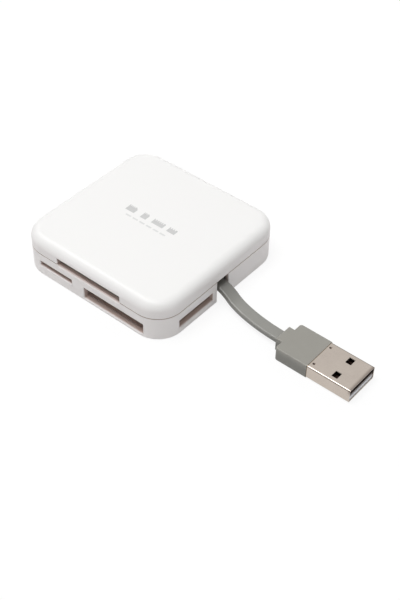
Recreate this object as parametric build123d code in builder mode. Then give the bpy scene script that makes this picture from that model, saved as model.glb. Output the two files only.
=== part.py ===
"""A USB memory card reader.

A rounded square housing in two moulded halves holds a circuit board with four card sockets. Three slots open
in the front face and one in the right face. A short flat cable leaves a notch in the right face, ends in a
plug and stows in a recess of the underside. The origin is on the underside at the middle of the housing, with
+Z up, the front face towards -Y and the cable towards +X. All sizes are in millimetres.
"""

import os
from math import radians, tan

from build123d import *

os.makedirs("parts", exist_ok=True)

# Front face, from left to right: margin, micro slot, space, stick slot, margin.
LEFT_MARGIN = 8.2
MICRO_SLOT_WIDTH = 12.9
SLOT_SPACING = 4.9
STICK_SLOT_WIDTH = 23.1
RIGHT_MARGIN = 6.9
# The large slot lies above those two, on the seam between the halves.
LARGE_SLOT_MARGIN = 15.5
LARGE_SLOT_WIDTH = 24.7
LARGE_SLOT_DROP = 0.35

# Right face, from front to back: margin, short slot, space, cable notch, margin.
FRONT_MARGIN = 8.0
SHORT_SLOT_WIDTH = 14.9
NOTCH_SPACING = 1.6
NOTCH_WIDTH = 5.3
REAR_MARGIN = 25.2
NOTCH_RELIEF = 2.2

LARGE_SLOT_HEIGHT = 2.4
MICRO_SLOT_HEIGHT = 1.65
STICK_SLOT_HEIGHT = 3.9
SHORT_SLOT_HEIGHT = 2.9
SHORT_SLOT_DEPTH = 9.4
SLOT_BEVEL = 0.2
LEAD_IN = 0.35
LARGE_LEAD_IN = 0.55

# Housing walls.
CORNER_RADIUS = 8.5
TOP_EDGE_RADIUS = 3.0
BOTTOM_EDGE_RADIUS = 0.4
WALL = 1.8
FLOOR = 0.8
ROOF = 1.6
HEADROOM = 1.3
SEAM_GAP = 0.22
SEAM_DEPTH = 0.5
LIP_THICKNESS = 0.75
LIP_DEPTH = 0.8
LIP_ROOT = 0.8
FIT = 0.05

# Pegs of the top cover, and the bosses that take them through the board.
PEG_THICKNESS = 1.4
PEG_WIDTH = 2.6
PEG_REACH = 2.5
PEG_SHOULDER = 0.9
PEG_TIP_ROOM = 0.5
BOSS_WALL = 0.9
BOSS_INSET = 5.5
BOSS_CLEARANCE = 0.5
FRONT_BOSS_SETBACK = 10.2

# Circuit board and card sockets.
BOARD_THICKNESS = 0.8
BOARD_CLEARANCE = 0.1
BOARD_EDGE_GAP = 0.8
BOARD_HOLE_CLEARANCE = 0.2
SOCKET_GAP = 0.3
SOCKET_WALL = 1.0
SHEET = 0.25
LARGE_BASE_FLOOR = 0.55
LARGE_SOCKET_LENGTH = 24.0
LARGE_COVER_LENGTH = 20.0
MICRO_BASE_ROOF = 1.35
MICRO_SOCKET_LENGTH = 12.5
MICRO_COVER_LENGTH = 10.5
STICK_FRAME_FLOOR = 0.35
STICK_FRAME_ROOF = 0.9
STICK_BACK_GAP = 0.2
COVER_WINDOW_WIDTH = 6.0
COVER_WINDOW_LENGTH = 8.0

# Spring contacts: one strip of each kind, and how many stand in a row.
CONTACT_THICKNESS = 0.15
CONTACT_PLAY = 0.1
LARGE_CONTACTS = 9
LARGE_CONTACT_PITCH = 2.5
LARGE_CONTACT_WIDTH = 1.0
MICRO_CONTACTS = 8
MICRO_CONTACT_PITCH = 1.1
MICRO_CONTACT_WIDTH = 0.6
STICK_CONTACTS = 10
STICK_CONTACT_PITCH = 1.8
STICK_CONTACT_WIDTH = 0.8
SHORT_CONTACTS = 11
SHORT_CONTACT_PITCH = 1.0
SHORT_CONTACT_WIDTH = 0.45
CONTACT_RISE = 0.4
CONTACT_TAIL = 1.0
LARGE_CONTACT_REACH = 6.0
MICRO_CONTACT_REACH = 5.0
STICK_CONTACT_REACH = 6.5
SHORT_CONTACT_REACH = 4.2
CONTACT_TIP = 1.5
CONTACT_CURL = 0.9

# Parts on the board, behind the large socket.
CHIP_LENGTH = 7.2
CHIP_WIDTH = 5.3
CHIP_HEIGHT = 1.6
CHIP_STANDOFF = 0.1
CHIP_X = -10.0
CHIP_SETBACK = 12.0
LEADS_PER_SIDE = 10
LEAD_PITCH = 0.65
LEAD_WIDTH = 0.3
LEAD_THICKNESS = 0.15
LEAD_REACH = 1.3
LEAD_FOOT = 0.6
CRYSTAL_LENGTH = 11.0
CRYSTAL_WIDTH = 4.6
CRYSTAL_HEIGHT = 3.3
CRYSTAL_FLANGE = 0.4
CRYSTAL_X = 6.0
CAPACITOR_SIZE = (2.0, 1.25, 0.9)
CAPACITOR_X = 16.5
RESISTOR_SIZE = (1.6, 0.8, 0.45)
PASSIVE_SETBACK = 5.0
PASSIVE_SPACING = 2.4

# Flat cable, its strain relief and its four wires.
CABLE_WIDTH = 4.2
CABLE_THICKNESS = 1.9
CABLE_EDGE_BEVEL = 0.35
CABLE_CLEARANCE = 0.05
CABLE_START = 7.5
RELIEF_LENGTH = 5.5
RELIEF_WIDTH = 5.6
RELIEF_RIB = 1.0
WIRE_DIAMETER = 0.7
WIRE_SIDES = 6
WIRE_PITCH = 0.85
WIRE_REACH = 2.4

# Plug, lying flat beside the housing.
PLUG_DISTANCE = 24.5
PLUG_Y = -3.9
NECK_LENGTH = 1.9
NECK_WIDTH = 6.2
NECK_CORNER_RADIUS = 0.5
GRIP_LENGTH = 10.8
GRIP_WIDTH = 12.2
GRIP_HEIGHT = 4.7
GRIP_CORNER_RADIUS = 0.9
GRIP_EDGE_RADIUS = 0.35
SHELL_LENGTH = 14.2
SHELL_WIDTH = 12.0
SHELL_HEIGHT = 4.5
SHELL_CORNER_RADIUS = 0.55
SHELL_SHEET = 0.3
SHELL_SEAM = 0.08
LATCH_LENGTH = 1.9
LATCH_WIDTH = 2.4
LATCH_SPACING = 6.5
LATCH_SETBACK = 6.2
DENT_RADIUS = 0.45
DENT_FLOOR_RADIUS = 0.2
DENT_DEPTH = 0.2
DENT_SPACING = 7.9
DENT_SETBACK = 1.0
TONGUE_THICKNESS = 2.1
TONGUE_RECESS = 0.25
PLUG_BLOCK_LENGTH = 4.0
PLUG_TAIL_LENGTH = 4.0
PLUG_TAIL_WIDTH = 9.6
PLUG_TAIL_HEIGHT = 2.8
PIN_WIDTH = 1.1
PIN_THICKNESS = 0.2
PIN_OUTER_SPACING = 7.0
PIN_INNER_SPACING = 2.0
PIN_SETBACK = 0.8
PIN_STAGGER = 1.0

# Stowage for the plug and the cable, in the underside.
STOW_CLEARANCE = 0.4
POCKET_WALL = 0.8
POCKET_ROOF = 0.9
GROOVE_LENGTH = 20.0
GROOVE_DEPTH = 3.6
GROOVE_ROOF = 0.8
SCOOP_RADIUS = 6.0

# Outline of the housing and the places of its slots.
body_width = LEFT_MARGIN + MICRO_SLOT_WIDTH + SLOT_SPACING + STICK_SLOT_WIDTH + RIGHT_MARGIN
body_depth = FRONT_MARGIN + SHORT_SLOT_WIDTH + NOTCH_SPACING + NOTCH_WIDTH + REAR_MARGIN
right = body_width / 2
back = body_depth / 2
micro_x = -right + LEFT_MARGIN + MICRO_SLOT_WIDTH / 2
stick_x = right - RIGHT_MARGIN - STICK_SLOT_WIDTH / 2
large_x = -right + LARGE_SLOT_MARGIN + LARGE_SLOT_WIDTH / 2
short_y = -back + FRONT_MARGIN + SHORT_SLOT_WIDTH / 2
notch_y = back - REAR_MARGIN - NOTCH_WIDTH / 2
inner_width = body_width - 2 * WALL
inner_depth = body_depth - 2 * WALL
inner_radius = CORNER_RADIUS - WALL
inside_front = -inner_depth / 2
inside_right = inner_width / 2

# Heights, stacked up from the floor. The board clears the stick socket, the pocket and the strain relief.
stick_low = FLOOR + STICK_FRAME_FLOOR
stick_high = stick_low + STICK_SLOT_HEIGHT
pocket_depth = GRIP_HEIGHT + STOW_CLEARANCE
pocket_top = pocket_depth + POCKET_ROOF
groove_top = GROOVE_DEPTH + GROOVE_ROOF
relief_height = CABLE_THICKNESS + 2 * CABLE_CLEARANCE
relief_top = groove_top + relief_height
board_low = max(stick_high + STICK_FRAME_ROOF, max(pocket_top, relief_top) + BOARD_CLEARANCE)
board_high = board_low + BOARD_THICKNESS
large_low = board_high + LARGE_BASE_FLOOR
large_high = large_low + LARGE_SLOT_HEIGHT
seam = large_low + LARGE_SLOT_DROP
ceiling = large_high + SHEET + HEADROOM
body_height = ceiling + ROOF
micro_high = board_low - MICRO_BASE_ROOF
micro_low = micro_high - MICRO_SLOT_HEIGHT
short_low = stick_high - SHORT_SLOT_HEIGHT

# Stowage recess.
plug_length = NECK_LENGTH + GRIP_LENGTH + SHELL_LENGTH
pocket_length = plug_length + 2 * STOW_CLEARANCE
pocket_width = GRIP_WIDTH + 2 * STOW_CLEARANCE
pocket_x = right - GROOVE_LENGTH - pocket_length / 2
pocket_front = notch_y - pocket_width / 2 - POCKET_WALL
groove_width = NOTCH_WIDTH + 2 * POCKET_WALL

# Sockets.
socket_front = inside_front + SOCKET_GAP
large_back = socket_front + LARGE_SOCKET_LENGTH
large_width = LARGE_SLOT_WIDTH + 2 * SOCKET_WALL
micro_back = socket_front + MICRO_SOCKET_LENGTH
micro_width = MICRO_SLOT_WIDTH + 2 * SOCKET_WALL
stick_back = pocket_front - STICK_BACK_GAP
stick_left = stick_x - STICK_SLOT_WIDTH / 2 - SOCKET_WALL
stick_right = inside_right - SOCKET_GAP
short_end = right - SHORT_SLOT_DEPTH
short_tail = stick_right - CONTACT_TAIL
short_back = notch_y - groove_width / 2 - STICK_BACK_GAP

# Board bosses: two at the back, one beside the micro socket.
boss_thickness = PEG_THICKNESS + 2 * (FIT + BOSS_WALL)
boss_width = PEG_WIDTH + 2 * (FIT + BOSS_WALL)
boss_x = inside_right - BOSS_INSET
boss_y = inner_depth / 2 - BOSS_INSET
front_boss_x = micro_x - micro_width / 2 - FIT - SHEET - BOSS_CLEARANCE - boss_thickness / 2
front_boss_y = inside_front + FRONT_BOSS_SETBACK
bosses = [(-boss_x, boss_y), (boss_x, boss_y), (front_boss_x, front_boss_y)]

# Cable and plug.
relief_right = right - CABLE_START
relief_left = relief_right - RELIEF_LENGTH
cable_z = groove_top + relief_height / 2
plug_back = right + PLUG_DISTANCE
grip_back = plug_back + NECK_LENGTH
shell_back = grip_back + GRIP_LENGTH
shell_tip = shell_back + SHELL_LENGTH
plug_z = GRIP_HEIGHT / 2
block_front = shell_back + PLUG_BLOCK_LENGTH
tongue_tip = shell_tip - TONGUE_RECESS
inside_width = SHELL_WIDTH - 2 * SHELL_SHEET
inside_height = SHELL_HEIGHT - 2 * SHELL_SHEET
tongue_top = plug_z - inside_height / 2 + TONGUE_THICKNESS

front_face = Plane.XZ.offset(back)
right_face = Plane.YZ.offset(right)


def row(count, pitch, middle):
    """Places of a row of equal pieces along one axis."""
    return [middle + (i - (count - 1) / 2) * pitch for i in range(count)]


# Top cover: a shallow moulded shell with the upper part of the large slot, a locating lip and three pegs.
with BuildPart() as top_cover:
    with BuildSketch(Plane.XY.offset(seam)):
        RectangleRounded(body_width, body_depth, CORNER_RADIUS)
    extrude(amount=body_height - seam)
    fillet(top_cover.faces().sort_by(Axis.Z)[-1].edges(), TOP_EDGE_RADIUS)
    with BuildSketch(Plane.XY.offset(seam)):
        RectangleRounded(inner_width, inner_depth, inner_radius)
    extrude(amount=ceiling - seam, mode=Mode.SUBTRACT)
    # The lip grows from the wall above the seam and reaches down inside the bottom housing.
    lip_width = inner_width - 2 * FIT
    lip_depth = inner_depth - 2 * FIT
    with BuildSketch(Plane.XY.offset(seam - LIP_DEPTH)):
        RectangleRounded(lip_width, lip_depth, inner_radius - FIT)
        offset(amount=-LIP_THICKNESS, mode=Mode.SUBTRACT)
    extrude(amount=LIP_DEPTH + LIP_ROOT)
    with BuildSketch(Plane.XY.offset(seam)):
        RectangleRounded(inner_width + WALL, inner_depth + WALL, inner_radius + WALL / 2)
        RectangleRounded(lip_width, lip_depth, inner_radius - FIT, mode=Mode.SUBTRACT)
    extrude(amount=LIP_ROOT)
    # Gaps in the lip for the large socket and for the cable.
    lip_gap = 2 * (FIT + LIP_THICKNESS)
    with BuildSketch(Plane.XY.offset(seam - LIP_DEPTH)):
        with Locations((large_x, inside_front)):
            Rectangle(large_width + 2 * (SHEET + SOCKET_GAP), lip_gap)
        with Locations((inside_right, notch_y)):
            Rectangle(lip_gap, NOTCH_WIDTH)
    extrude(amount=LIP_DEPTH, mode=Mode.SUBTRACT)
    with BuildSketch(Plane.XY.offset(seam)):
        with Locations((large_x, inside_front + lip_gap / 4)):
            Rectangle(large_width + 2 * (SHEET + SOCKET_GAP), lip_gap / 2)
    extrude(amount=LIP_ROOT, mode=Mode.SUBTRACT)
    with BuildSketch(front_face):
        with Locations((large_x, (large_low + large_high) / 2)):
            Rectangle(LARGE_SLOT_WIDTH, LARGE_SLOT_HEIGHT)
    extrude(amount=-WALL, mode=Mode.SUBTRACT)
    with BuildSketch(front_face):
        with Locations((large_x, (large_low + large_high) / 2)):
            Rectangle(LARGE_SLOT_WIDTH + 2 * SLOT_BEVEL, LARGE_SLOT_HEIGHT + 2 * SLOT_BEVEL)
    extrude(amount=-SLOT_BEVEL, taper=45, mode=Mode.SUBTRACT)
    # Pegs: the shoulder holds the board down, the pin goes through it into the boss.
    with BuildSketch(Plane.XY.offset(board_high + FIT)):
        with Locations(*bosses):
            Rectangle(PEG_THICKNESS + 2 * PEG_SHOULDER, PEG_WIDTH + 2 * PEG_SHOULDER)
    extrude(amount=ceiling + ROOF / 2 - board_high - FIT)
    with BuildSketch(Plane.XY.offset(board_low - PEG_REACH)):
        with Locations(*bosses):
            Rectangle(PEG_THICKNESS, PEG_WIDTH)
    extrude(amount=PEG_REACH + BOARD_THICKNESS + 2 * FIT)

# Bottom housing: a moulded tray with the other slots, the bosses and the stowage recess in its underside.
with BuildPart() as bottom_housing:
    with BuildSketch():
        RectangleRounded(body_width, body_depth, CORNER_RADIUS)
    extrude(amount=seam)
    fillet(bottom_housing.faces().sort_by(Axis.Z)[0].edges(), BOTTOM_EDGE_RADIUS)
    # The rim steps down round the outside, so that the seam shows as a fine shadow line.
    with BuildSketch(Plane.XY.offset(seam - SEAM_GAP)):
        RectangleRounded(body_width, body_depth, CORNER_RADIUS)
        offset(amount=-SEAM_DEPTH, mode=Mode.SUBTRACT)
    extrude(amount=SEAM_GAP, mode=Mode.SUBTRACT)
    with BuildSketch(Plane.XY.offset(FLOOR)):
        RectangleRounded(inner_width, inner_depth, inner_radius)
    extrude(amount=seam - FLOOR, mode=Mode.SUBTRACT)
    # Raised walls round the plug pocket with its finger scoop, and round the cable groove.
    with BuildSketch(Plane.XY.offset(FLOOR / 2)):
        with Locations((pocket_x, notch_y)):
            Rectangle(pocket_length + 2 * POCKET_WALL, pocket_width + 2 * POCKET_WALL)
        with Locations((pocket_x, notch_y + pocket_width / 2)):
            Circle(SCOOP_RADIUS + POCKET_WALL)
    extrude(amount=pocket_top - FLOOR / 2)
    with BuildSketch(Plane.XY.offset(FLOOR / 2)):
        with Locations((right - (GROOVE_LENGTH + WALL / 2) / 2, notch_y)):
            Rectangle(GROOVE_LENGTH - WALL / 2, groove_width)
    extrude(amount=groove_top - FLOOR / 2)
    # Ribs on the groove's roof that hold the strain relief: the cable or the wires pass between each pair.
    rib_right = relief_right + FIT + RELIEF_RIB / 2
    rib_left = relief_left - FIT - RELIEF_RIB / 2
    for rib_x, passage in (
        (rib_right, CABLE_WIDTH + 2 * CABLE_CLEARANCE),
        (rib_left, 3 * WIRE_PITCH + WIRE_DIAMETER + 2 * CABLE_CLEARANCE),
    ):
        with BuildSketch(Plane.XY.offset(groove_top - GROOVE_ROOF / 2)):
            with Locations((rib_x, notch_y)):
                Rectangle(RELIEF_RIB, groove_width)
                Rectangle(RELIEF_RIB, passage, mode=Mode.SUBTRACT)
        extrude(amount=relief_height + GROOVE_ROOF / 2)
    # Board bosses.
    with BuildSketch(Plane.XY.offset(FLOOR / 2)):
        with Locations(*bosses):
            Rectangle(boss_thickness, boss_width)
    extrude(amount=board_low - FLOOR / 2)
    with BuildSketch(Plane.XY.offset(board_low)):
        with Locations(*bosses):
            Rectangle(PEG_THICKNESS + 2 * FIT, PEG_WIDTH + 2 * FIT)
    extrude(amount=-(PEG_REACH + PEG_TIP_ROOM), mode=Mode.SUBTRACT)
    # Slots, with a small bevel round each mouth and a wider one on the lower lip, which leads the card in.
    for face, middle, low, high, width, lead_in in (
        (front_face, large_x, large_low, large_high, LARGE_SLOT_WIDTH, LARGE_LEAD_IN),
        (front_face, micro_x, micro_low, micro_high, MICRO_SLOT_WIDTH, LEAD_IN),
        (front_face, stick_x, stick_low, stick_high, STICK_SLOT_WIDTH, LEAD_IN),
        (right_face, short_y, short_low, stick_high, SHORT_SLOT_WIDTH, LEAD_IN),
    ):
        with BuildSketch(face):
            with Locations((middle, (low + high) / 2)):
                Rectangle(width, high - low)
        extrude(amount=-WALL, mode=Mode.SUBTRACT)
        with BuildSketch(face):
            with Locations((middle, (low + high) / 2)):
                Rectangle(width + 2 * SLOT_BEVEL, high - low + 2 * SLOT_BEVEL)
        extrude(amount=-SLOT_BEVEL, taper=45, mode=Mode.SUBTRACT)
        with BuildSketch(face):
            with Locations((middle, (low + high - lead_in) / 2)):
                Rectangle(width, high - low + lead_in)
        extrude(amount=-lead_in, taper=45, mode=Mode.SUBTRACT)
    # Cable notch, open to the seam and to the underside.
    with BuildSketch(right_face):
        with Locations((notch_y, seam / 2)):
            Rectangle(NOTCH_WIDTH, seam)
    extrude(amount=-(WALL + NOTCH_RELIEF), mode=Mode.SUBTRACT)
    # Pocket, scoop and groove, cut from below.
    with BuildSketch():
        with Locations((pocket_x, notch_y)):
            Rectangle(pocket_length, pocket_width)
        with Locations((pocket_x, notch_y + pocket_width / 2)):
            Circle(SCOOP_RADIUS)
    extrude(amount=pocket_depth, mode=Mode.SUBTRACT)
    with BuildSketch():
        with Locations((right - GROOVE_LENGTH / 2, notch_y)):
            Rectangle(GROOVE_LENGTH + 2 * POCKET_WALL, NOTCH_WIDTH)
    extrude(amount=GROOVE_DEPTH, mode=Mode.SUBTRACT)

# Circuit board: follows the cavity's outline, with holes for the pegs.
with BuildPart() as circuit_board:
    with BuildSketch(Plane.XY.offset(board_low)):
        RectangleRounded(
            inner_width - 2 * BOARD_EDGE_GAP,
            inner_depth - 2 * BOARD_EDGE_GAP,
            inner_radius - BOARD_EDGE_GAP,
        )
        with Locations(*bosses):
            Rectangle(
                PEG_THICKNESS + 2 * BOARD_HOLE_CLEARANCE,
                PEG_WIDTH + 2 * BOARD_HOLE_CLEARANCE,
                mode=Mode.SUBTRACT,
            )
    extrude(amount=BOARD_THICKNESS)

# Large card socket: a moulded channel with slots for its contacts, on the top of the board.
large_middle = (socket_front + large_back) / 2
with BuildPart() as large_socket_base:
    with BuildSketch(Plane.XY.offset(board_high)):
        with Locations((large_x, large_middle)):
            Rectangle(large_width, LARGE_SOCKET_LENGTH)
    extrude(amount=large_high - board_high)
    with BuildSketch(Plane.XZ.offset(-socket_front)):
        with Locations((large_x, (large_low + large_high) / 2)):
            Rectangle(LARGE_SLOT_WIDTH, LARGE_SLOT_HEIGHT)
    extrude(amount=-(LARGE_SOCKET_LENGTH - SOCKET_WALL), mode=Mode.SUBTRACT)
    with BuildSketch(Plane.XY.offset(board_high)):
        with Locations((large_x, large_back - LARGE_CONTACT_REACH / 2)):
            with GridLocations(LARGE_CONTACT_PITCH, 0, LARGE_CONTACTS, 1):
                Rectangle(LARGE_CONTACT_WIDTH + 2 * CONTACT_PLAY, LARGE_CONTACT_REACH)
    extrude(amount=LARGE_BASE_FLOOR, mode=Mode.SUBTRACT)

# Its cover: sheet metal folded down over both rails, with two stamped windows.
with BuildPart() as large_socket_cover:
    with BuildSketch(Plane.XZ.offset(-socket_front)):
        with Locations((large_x, (board_high + large_high + SHEET) / 2)):
            Rectangle(large_width + 2 * (FIT + SHEET), large_high + SHEET - board_high)
        with Locations((large_x, (board_high + large_high) / 2)):
            Rectangle(large_width + 2 * FIT, large_high - board_high, mode=Mode.SUBTRACT)
    extrude(amount=-LARGE_COVER_LENGTH)
    with BuildSketch(Plane.XY.offset(large_high)):
        with Locations((large_x, socket_front + LARGE_COVER_LENGTH / 2)):
            with GridLocations(2 * COVER_WINDOW_WIDTH, 0, 2, 1):
                Rectangle(COVER_WINDOW_WIDTH, COVER_WINDOW_LENGTH)
    extrude(amount=SHEET, mode=Mode.SUBTRACT)

# Its contacts: strips soldered behind the base, rising through its floor.
with BuildPart() as large_socket_contacts:
    starts = [x - LARGE_CONTACT_WIDTH / 2 for x in row(LARGE_CONTACTS, LARGE_CONTACT_PITCH, large_x)]
    with BuildSketch(*[Plane.YZ.offset(x) for x in starts]):
        with BuildLine():
            Polyline(
                (large_back - LARGE_CONTACT_REACH + CONTACT_TIP - CONTACT_CURL, large_low),
                (large_back - LARGE_CONTACT_REACH + CONTACT_TIP, large_low + CONTACT_RISE),
                (large_back - SOCKET_WALL, board_high),
                (large_back + CONTACT_TAIL, board_high),
            )
            offset(amount=CONTACT_THICKNESS, kind=Kind.INTERSECTION, side=Side.LEFT)
        make_face()
    extrude(amount=LARGE_CONTACT_WIDTH)

# Micro card socket: a moulded channel that hangs from the underside of the board.
micro_middle = (socket_front + micro_back) / 2
with BuildPart() as micro_socket_base:
    with BuildSketch(Plane.XY.offset(micro_low)):
        with Locations((micro_x, micro_middle)):
            Rectangle(micro_width, MICRO_SOCKET_LENGTH)
    extrude(amount=board_low - micro_low)
    with BuildSketch(Plane.XZ.offset(-socket_front)):
        with Locations((micro_x, (micro_low + micro_high) / 2)):
            Rectangle(MICRO_SLOT_WIDTH, MICRO_SLOT_HEIGHT)
    extrude(amount=-(MICRO_SOCKET_LENGTH - SOCKET_WALL), mode=Mode.SUBTRACT)
    with BuildSketch(Plane.XY.offset(board_low)):
        with Locations((micro_x, micro_back - MICRO_CONTACT_REACH / 2)):
            with GridLocations(MICRO_CONTACT_PITCH, 0, MICRO_CONTACTS, 1):
                Rectangle(MICRO_CONTACT_WIDTH + 2 * CONTACT_PLAY, MICRO_CONTACT_REACH)
    extrude(amount=-MICRO_BASE_ROOF, mode=Mode.SUBTRACT)

# Its cover: sheet metal folded up round both rails.
with BuildPart() as micro_socket_cover:
    with BuildSketch(Plane.XZ.offset(-socket_front)):
        with Locations((micro_x, (board_low + micro_low - SHEET) / 2)):
            Rectangle(micro_width + 2 * (FIT + SHEET), board_low - micro_low + SHEET)
        with Locations((micro_x, (board_low + micro_low) / 2)):
            Rectangle(micro_width + 2 * FIT, board_low - micro_low, mode=Mode.SUBTRACT)
    extrude(amount=-MICRO_COVER_LENGTH)

# Its contacts: strips soldered behind the base, coming down through its roof.
with BuildPart() as micro_socket_contacts:
    starts = [x - MICRO_CONTACT_WIDTH / 2 for x in row(MICRO_CONTACTS, MICRO_CONTACT_PITCH, micro_x)]
    with BuildSketch(*[Plane.YZ.offset(x) for x in starts]):
        with BuildLine():
            Polyline(
                (micro_back - MICRO_CONTACT_REACH + CONTACT_TIP - CONTACT_CURL, micro_high),
                (micro_back - MICRO_CONTACT_REACH + CONTACT_TIP, micro_high - CONTACT_RISE),
                (micro_back - SOCKET_WALL, board_low),
                (micro_back + CONTACT_TAIL, board_low),
            )
            offset(amount=CONTACT_THICKNESS, kind=Kind.INTERSECTION, side=Side.RIGHT)
        make_face()
    extrude(amount=MICRO_CONTACT_WIDTH)

# Stick card socket: one moulded frame between floor and board. The stick card enters its front, the short one
# its right side, one at a time, into cavities that meet.
contact_end = CONTACT_TAIL + CONTACT_PLAY
with BuildPart() as stick_socket_frame:
    with BuildSketch(Plane.XY.offset(FLOOR)):
        with Locations(((stick_left + stick_right) / 2, (socket_front + stick_back) / 2)):
            Rectangle(stick_right - stick_left, stick_back - socket_front)
        with Locations(((short_end - SOCKET_WALL + stick_right) / 2, (socket_front + short_back) / 2)):
            Rectangle(stick_right - short_end + SOCKET_WALL, short_back - socket_front)
    extrude(amount=board_low - FLOOR)
    fillet(
        stick_socket_frame.edges().filter_by(Axis.Z).group_by(Axis.Y)[0].sort_by(Axis.X)[-1],
        inner_radius - SOCKET_GAP,
    )
    with BuildSketch(Plane.XZ.offset(-socket_front)):
        with Locations((stick_x, (stick_low + stick_high) / 2)):
            Rectangle(STICK_SLOT_WIDTH, STICK_SLOT_HEIGHT)
    extrude(amount=-(stick_back - SOCKET_WALL - socket_front), mode=Mode.SUBTRACT)
    with BuildSketch(Plane.YZ.offset(stick_right)):
        with Locations((short_y, (short_low + stick_high) / 2)):
            Rectangle(SHORT_SLOT_WIDTH, SHORT_SLOT_HEIGHT)
    extrude(amount=-(stick_right - short_end), mode=Mode.SUBTRACT)
    with BuildSketch(Plane.XY.offset(board_low)):
        with Locations((stick_x, stick_back + (contact_end - STICK_CONTACT_REACH) / 2)):
            with GridLocations(STICK_CONTACT_PITCH, 0, STICK_CONTACTS, 1):
                Rectangle(STICK_CONTACT_WIDTH + 2 * CONTACT_PLAY, STICK_CONTACT_REACH + contact_end)
        with Locations((short_tail + CONTACT_PLAY - SHORT_CONTACT_REACH / 2, short_y)):
            with GridLocations(0, SHORT_CONTACT_PITCH, 1, SHORT_CONTACTS):
                Rectangle(SHORT_CONTACT_REACH, SHORT_CONTACT_WIDTH + 2 * CONTACT_PLAY)
    extrude(amount=stick_high - board_low, mode=Mode.SUBTRACT)

# Its two rows of contacts, coming down through the frame's roof.
with BuildPart() as stick_contacts:
    starts = [x - STICK_CONTACT_WIDTH / 2 for x in row(STICK_CONTACTS, STICK_CONTACT_PITCH, stick_x)]
    with BuildSketch(*[Plane.YZ.offset(x) for x in starts]):
        with BuildLine():
            Polyline(
                (stick_back - STICK_CONTACT_REACH + CONTACT_TIP - CONTACT_CURL, stick_high),
                (stick_back - STICK_CONTACT_REACH + CONTACT_TIP, stick_high - CONTACT_RISE),
                (stick_back - SOCKET_WALL, board_low),
                (stick_back + CONTACT_TAIL, board_low),
            )
            offset(amount=CONTACT_THICKNESS, kind=Kind.INTERSECTION, side=Side.RIGHT)
        make_face()
    extrude(amount=STICK_CONTACT_WIDTH)

with BuildPart() as short_stick_contacts:
    starts = [y + SHORT_CONTACT_WIDTH / 2 for y in row(SHORT_CONTACTS, SHORT_CONTACT_PITCH, short_y)]
    with BuildSketch(*[Plane.XZ.offset(-y) for y in starts]):
        with BuildLine():
            Polyline(
                (short_tail - SHORT_CONTACT_REACH + CONTACT_TIP - CONTACT_CURL, stick_high),
                (short_tail - SHORT_CONTACT_REACH + CONTACT_TIP, stick_high - CONTACT_RISE),
                (short_tail - CONTACT_TAIL, board_low),
                (short_tail, board_low),
            )
            offset(amount=CONTACT_THICKNESS, kind=Kind.INTERSECTION, side=Side.RIGHT)
        make_face()
    extrude(amount=SHORT_CONTACT_WIDTH)

# Controller chip and its gull-wing leads.
chip_y = large_back + CHIP_SETBACK
chip_low = board_high + CHIP_STANDOFF
lead_high = chip_low + CHIP_HEIGHT / 2
with BuildPart() as controller_chip:
    with BuildSketch(Plane.XY.offset(chip_low)):
        with Locations((CHIP_X, chip_y)):
            Rectangle(CHIP_LENGTH, CHIP_WIDTH)
    extrude(amount=CHIP_HEIGHT)
    chamfer(controller_chip.faces().sort_by(Axis.Z)[-1].edges(), LEAD_THICKNESS)

with BuildPart() as controller_leads:
    starts = [x - LEAD_WIDTH / 2 for x in row(LEADS_PER_SIDE, LEAD_PITCH, CHIP_X)]
    for side, thick_side in ((1, Side.LEFT), (-1, Side.RIGHT)):
        with BuildSketch(*[Plane.YZ.offset(x) for x in starts]):
            with BuildLine():
                Polyline(
                    (chip_y + side * CHIP_WIDTH / 2, lead_high),
                    (chip_y + side * (CHIP_WIDTH / 2 + LEAD_REACH - LEAD_FOOT - LEAD_THICKNESS), lead_high),
                    (chip_y + side * (CHIP_WIDTH / 2 + LEAD_REACH - LEAD_FOOT), board_high),
                    (chip_y + side * (CHIP_WIDTH / 2 + LEAD_REACH), board_high),
                )
                offset(amount=LEAD_THICKNESS, kind=Kind.INTERSECTION, side=thick_side)
            make_face()
        extrude(amount=LEAD_WIDTH)

# Crystal: a drawn can on a flange.
with BuildPart() as crystal:
    with BuildSketch(Plane.XY.offset(board_high)):
        with Locations((CRYSTAL_X, chip_y)):
            SlotOverall(CRYSTAL_LENGTH + 2 * CRYSTAL_FLANGE, CRYSTAL_WIDTH + 2 * CRYSTAL_FLANGE)
    extrude(amount=CRYSTAL_FLANGE)
    with BuildSketch(Plane.XY.offset(board_high + CRYSTAL_FLANGE)):
        with Locations((CRYSTAL_X, chip_y)):
            SlotOverall(CRYSTAL_LENGTH, CRYSTAL_WIDTH)
    extrude(amount=CRYSTAL_HEIGHT)

# Chip capacitors and chip resistors.
with BuildPart() as capacitors:
    with BuildSketch(Plane.XY.offset(board_high)):
        with Locations((CAPACITOR_X, chip_y)):
            with GridLocations(CAPACITOR_SIZE[0] + PASSIVE_SPACING, PASSIVE_SPACING, 2, 3):
                Rectangle(CAPACITOR_SIZE[0], CAPACITOR_SIZE[1])
    extrude(amount=CAPACITOR_SIZE[2])

with BuildPart() as resistors:
    with BuildSketch(Plane.XY.offset(board_high)):
        with Locations((CHIP_X, large_back + PASSIVE_SETBACK)):
            with GridLocations(RESISTOR_SIZE[0] + PASSIVE_SPACING, 0, 4, 1):
                Rectangle(RESISTOR_SIZE[0], RESISTOR_SIZE[1])
    extrude(amount=RESISTOR_SIZE[2])

# Strain relief: a block moulded on the cable's end, held between the ribs of the bottom housing.
with BuildPart() as strain_relief:
    with BuildSketch(Plane.XY.offset(groove_top)):
        with Locations(((relief_left + relief_right) / 2, notch_y)):
            Rectangle(RELIEF_LENGTH, RELIEF_WIDTH)
    extrude(amount=relief_height)

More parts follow.
